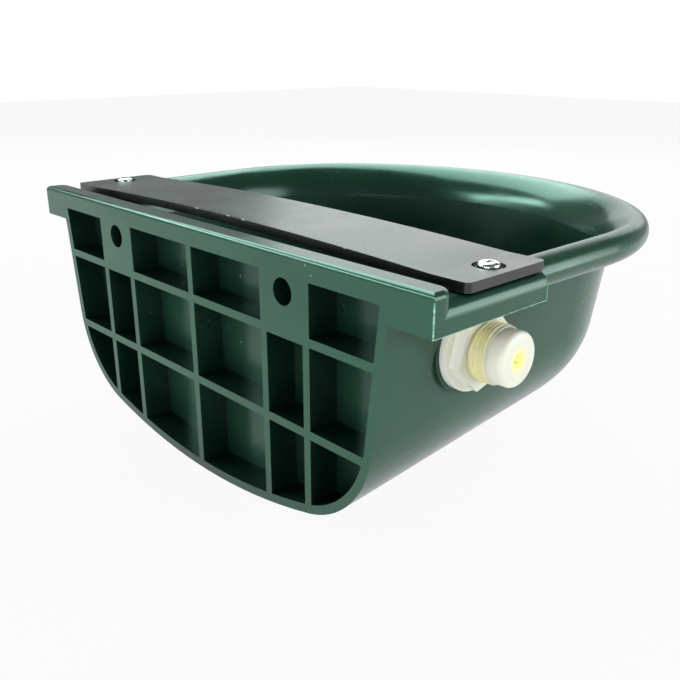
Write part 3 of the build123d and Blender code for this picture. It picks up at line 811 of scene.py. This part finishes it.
class BOWL_OT_stage(bpy.types.Operator):
    """Add the camera, the floor, the lamps and the world."""

    bl_idname = "bowl.stage"
    bl_label = "Camera and stage"

    def execute(self, context):
        settings = context.scene.bowl_stage
        context.scene.view_settings.view_transform = "Standard"
        self.camera(context.scene, settings)
        self.floor(settings)
        self.lamps()
        self.world(settings)
        return {"FINISHED"}

    def camera(self, scene, settings):
        """Camera that looks at the aim from its azimuth and elevation."""
        turn, rise = settings.azimuth, settings.elevation
        back = Vector((sin(turn) * cos(rise), -cos(turn) * cos(rise), sin(rise)))
        camera_data = bpy.data.cameras.new("camera")
        camera_data.lens = settings.lens
        camera_data.sensor_width = 36
        camera_data.clip_start = 10 * MM
        camera = bpy.data.objects.new("camera", camera_data)
        scene.collection.objects.link(camera)
        camera.location = Vector(settings.aim) + back * settings.distance
        camera.rotation_euler = back.to_track_quat("Z", "Y").to_euler()
        scene.camera = camera

    def floor(self, settings):
        """Wide floor just under the bowl."""
        lowest = cad_box[0][2] - settings.floor_drop
        bpy.ops.object.select_all(action="DESELECT")
        bpy.ops.mesh.primitive_plane_add(size=6, location=(0, 0, lowest))
        floor = bpy.context.object
        floor.name = "floor"
        floor.data.materials.append(self.floor_finish(settings))

    def lamps(self):
        """Soft lamps without highlights, gloss lamps with nothing else, full lamps with both."""
        pale, mint = (0.95, 1, 0.98), (0.7, 1, 0.9)
        # name, place, sides, watts, colour
        soft = (
            ("left_light", (-1.6, -0.75, 0.1), (0.8, 0.3), 26, WHITE),
            ("sky_light", (-0.9, 0.75, 0.9), (1.6, 1.2), 7.5, mint),
        )
        gloss = (
            ("rim_gloss", (-0.7, 0.4, 1.1), (1.4, 1.1), 34, mint),
            ("ridge_gloss", (-1.1, -0.75, 0.75), (1.2, 0.25), 16, mint),
        )
        full = (
            ("back_light", (0.5, -1.2, 0.1), (1.0, 0.3), 10, WHITE),
            ("side_light", (0.8, 0.6, 0.12), (0.7, 0.5), 5.8, pale),
            ("cover_light", (-0.6, 1.25, 0.45), (1.3, 0.6), 3.6, pale),
        )
        for row in soft:
            self.lamp(*row).visible_glossy = False
        for row in gloss:
            self.lamp(*row).visible_diffuse = False
        for row in full:
            self.lamp(*row)

    def lamp(self, name, place, sides, watts, colour):
        """Flat soft lamp aimed at the bowl."""
        light = bpy.data.lights.new(name, "AREA")
        light.shape = "RECTANGLE"
        light.energy = watts
        light.size, light.size_y = sides
        light.color = colour
        lamp = bpy.data.objects.new(name, light)
        bpy.context.scene.collection.objects.link(lamp)
        lamp.location = place
        bowl_middle = Vector((0, 0.1, -0.03))
        back = Vector(place) - bowl_middle
        lamp.rotation_euler = back.to_track_quat("Z", "Y").to_euler()
        return lamp

    def white_seen(self, nodes, links):
        """1 where the camera, a gloss ray or a ray through glass sees the floor."""
        path = nodes.new("ShaderNodeLightPath")
        seen = path.outputs["Is Camera Ray"]
        for kind in ("Is Glossy Ray", "Is Transmission Ray"):
            either = nodes.new("ShaderNodeMath")
            either.operation = "MAXIMUM"
            links.new(seen, either.inputs[0])
            links.new(path.outputs[kind], either.inputs[1])
            seen = either.outputs[0]
        return seen

    def floor_finish(self, settings):
        """Pale matt floor that keeps a soft shadow on white."""
        white_share = 0.92
        material, nodes, links, shader = new_material("floor", 0.9)
        shader.inputs["Base Color"].default_value = (*settings.floor_colour, 1)
        shader.inputs["Specular IOR Level"].default_value = 0.1
        white = nodes.new("ShaderNodeEmission")
        white.inputs["Strength"].default_value = 1.0
        share = nodes.new("ShaderNodeMath")
        share.operation = "MULTIPLY"
        share.inputs[1].default_value = white_share
        mix = nodes.new("ShaderNodeMixShader")
        links.new(self.white_seen(nodes, links), share.inputs[0])
        links.new(share.outputs[0], mix.inputs["Fac"])
        links.new(shader.outputs["BSDF"], mix.inputs[1])
        links.new(white.outputs["Emission"], mix.inputs[2])
        links.new(mix.outputs["Shader"], nodes["Material Output"].inputs["Surface"])
        return material

    def world(self, settings):
        """Even soft light, seen as white; gloss rays see a paler band low down."""
        low_glow, high_glow = 0.4, 0.12
        band_start, band_end = 0.16, 0.42
        world = bpy.data.worlds.new("studio")
        bpy.context.scene.world = world
        world.use_nodes = True
        nodes, links = world.node_tree.nodes, world.node_tree.links
        backdrop = nodes["Background"]
        backdrop.inputs["Color"].default_value = (*WHITE, 1)
        path = nodes.new("ShaderNodeLightPath")
        direction = nodes.new("ShaderNodeTexCoord")
        height = nodes.new("ShaderNodeSeparateXYZ")
        links.new(direction.outputs["Generated"], height.inputs["Vector"])
        glow = remap(
            nodes, links, height.outputs["Z"], low_glow, high_glow, band_start, band_end
        )
        gloss = nodes.new("ShaderNodeMix")
        gloss.inputs["A"].default_value = settings.world_strength
        links.new(path.outputs["Is Glossy Ray"], gloss.inputs["Factor"])
        links.new(glow, gloss.inputs["B"])
        seen = nodes.new("ShaderNodeMix")
        seen.inputs["B"].default_value = 1.0
        links.new(path.outputs["Is Camera Ray"], seen.inputs["Factor"])
        links.new(gloss.outputs["Result"], seen.inputs["A"])
        links.new(seen.outputs["Result"], backdrop.inputs["Strength"])


class BOWL_OT_finishes(bpy.types.Operator):
    """Give every CAD piece its finish."""

    bl_idname = "bowl.finishes"
    bl_label = "Finishes of the CAD pieces"

    def execute(self, context):
        settings = context.scene.bowl_finish
        acetal = plain_plastic("white_acetal", settings.acetal_white)
        shell = plain_plastic("float_plastic", settings.float_white, 0.3, grain_scale=60)
        rubber = plain_plastic("black_rubber", settings.rubber_black, 0.6)
        steel = bright_metal("stainless_steel", settings.steel_grey)
        zinc = bright_metal("zinc_plate", settings.zinc_grey, 0.18)
        brass = bright_metal("brass", settings.brass_yellow, 0.25)
        rod_parts = ("float_rod", "rod_lock_nut", "float_washers", "float_nuts")
        finishes = (
            (green_polypropylene(settings), ("bowl",)),
            (black_polypropylene(settings), ("cover_plate",)),
            (zinc, ("cover_screws",)),
            (ivory_nylon(settings), ("lock_nut",)),
            (straw_nylon(settings), ("inlet_strainer",)),
            (rubber, ("inlet_gasket", "nozzle_oring", "seal_disc")),
            (brass, ("nozzle",)),
            (acetal, ("plunger", "seal_cap", "lever")),
            (shell, ("float_upper", "float_lower")),
            (steel, ("pivot_pin", "pin_clip", *rod_parts)),
        )
        for material, nodes in finishes:
            for node in nodes:
                dress(node, material)
        return {"FINISHED"}


class BOWL_PT_panel(bpy.types.Panel):
    """Lists the bowl's operators and settings."""

    bl_label = "Drinking bowl"
    bl_idname = "BOWL_PT_panel"
    bl_space_type = "VIEW_3D"
    bl_region_type = "UI"
    bl_category = "Drinking bowl"

    def draw(self, context):
        layout = self.layout
        for operator in OPERATORS:
            layout.operator(operator.bl_idname)
        scene = context.scene
        groups = (scene.bowl_finish, scene.bowl_thread, scene.bowl_flash, scene.bowl_stage)
        for settings in groups:
            for name in settings.bl_rna.properties.keys():
                if name not in {"rna_type", "name"}:
                    layout.prop(settings, name)


OPERATORS = (BOWL_OT_finishes, BOWL_OT_inlet, BOWL_OT_flash, BOWL_OT_stage)
SETTINGS = (BowlFinishSettings, BowlThreadSettings, BowlFlashSettings, BowlStageSettings)
CLASSES = (*SETTINGS, *OPERATORS, BOWL_PT_panel)


def register():
    """Register the classes and give the scene the settings."""
    for item in CLASSES:
        bpy.utils.register_class(item)
    bpy.types.Scene.bowl_finish = bpy.props.PointerProperty(type=BowlFinishSettings)
    bpy.types.Scene.bowl_thread = bpy.props.PointerProperty(type=BowlThreadSettings)
    bpy.types.Scene.bowl_flash = bpy.props.PointerProperty(type=BowlFlashSettings)
    bpy.types.Scene.bowl_stage = bpy.props.PointerProperty(type=BowlStageSettings)


def unregister():
    """Take the settings and the classes away again."""
    del bpy.types.Scene.bowl_stage
    del bpy.types.Scene.bowl_flash
    del bpy.types.Scene.bowl_thread
    del bpy.types.Scene.bowl_finish
    for item in reversed(CLASSES):
        bpy.utils.unregister_class(item)


def main():
    """Build the looks in order."""
    register()
    bpy.ops.bowl.finishes()
    bpy.ops.bowl.inlet()
    bpy.ops.bowl.flash()
    bpy.ops.bowl.stage()


if __name__ == "__main__":
    main()
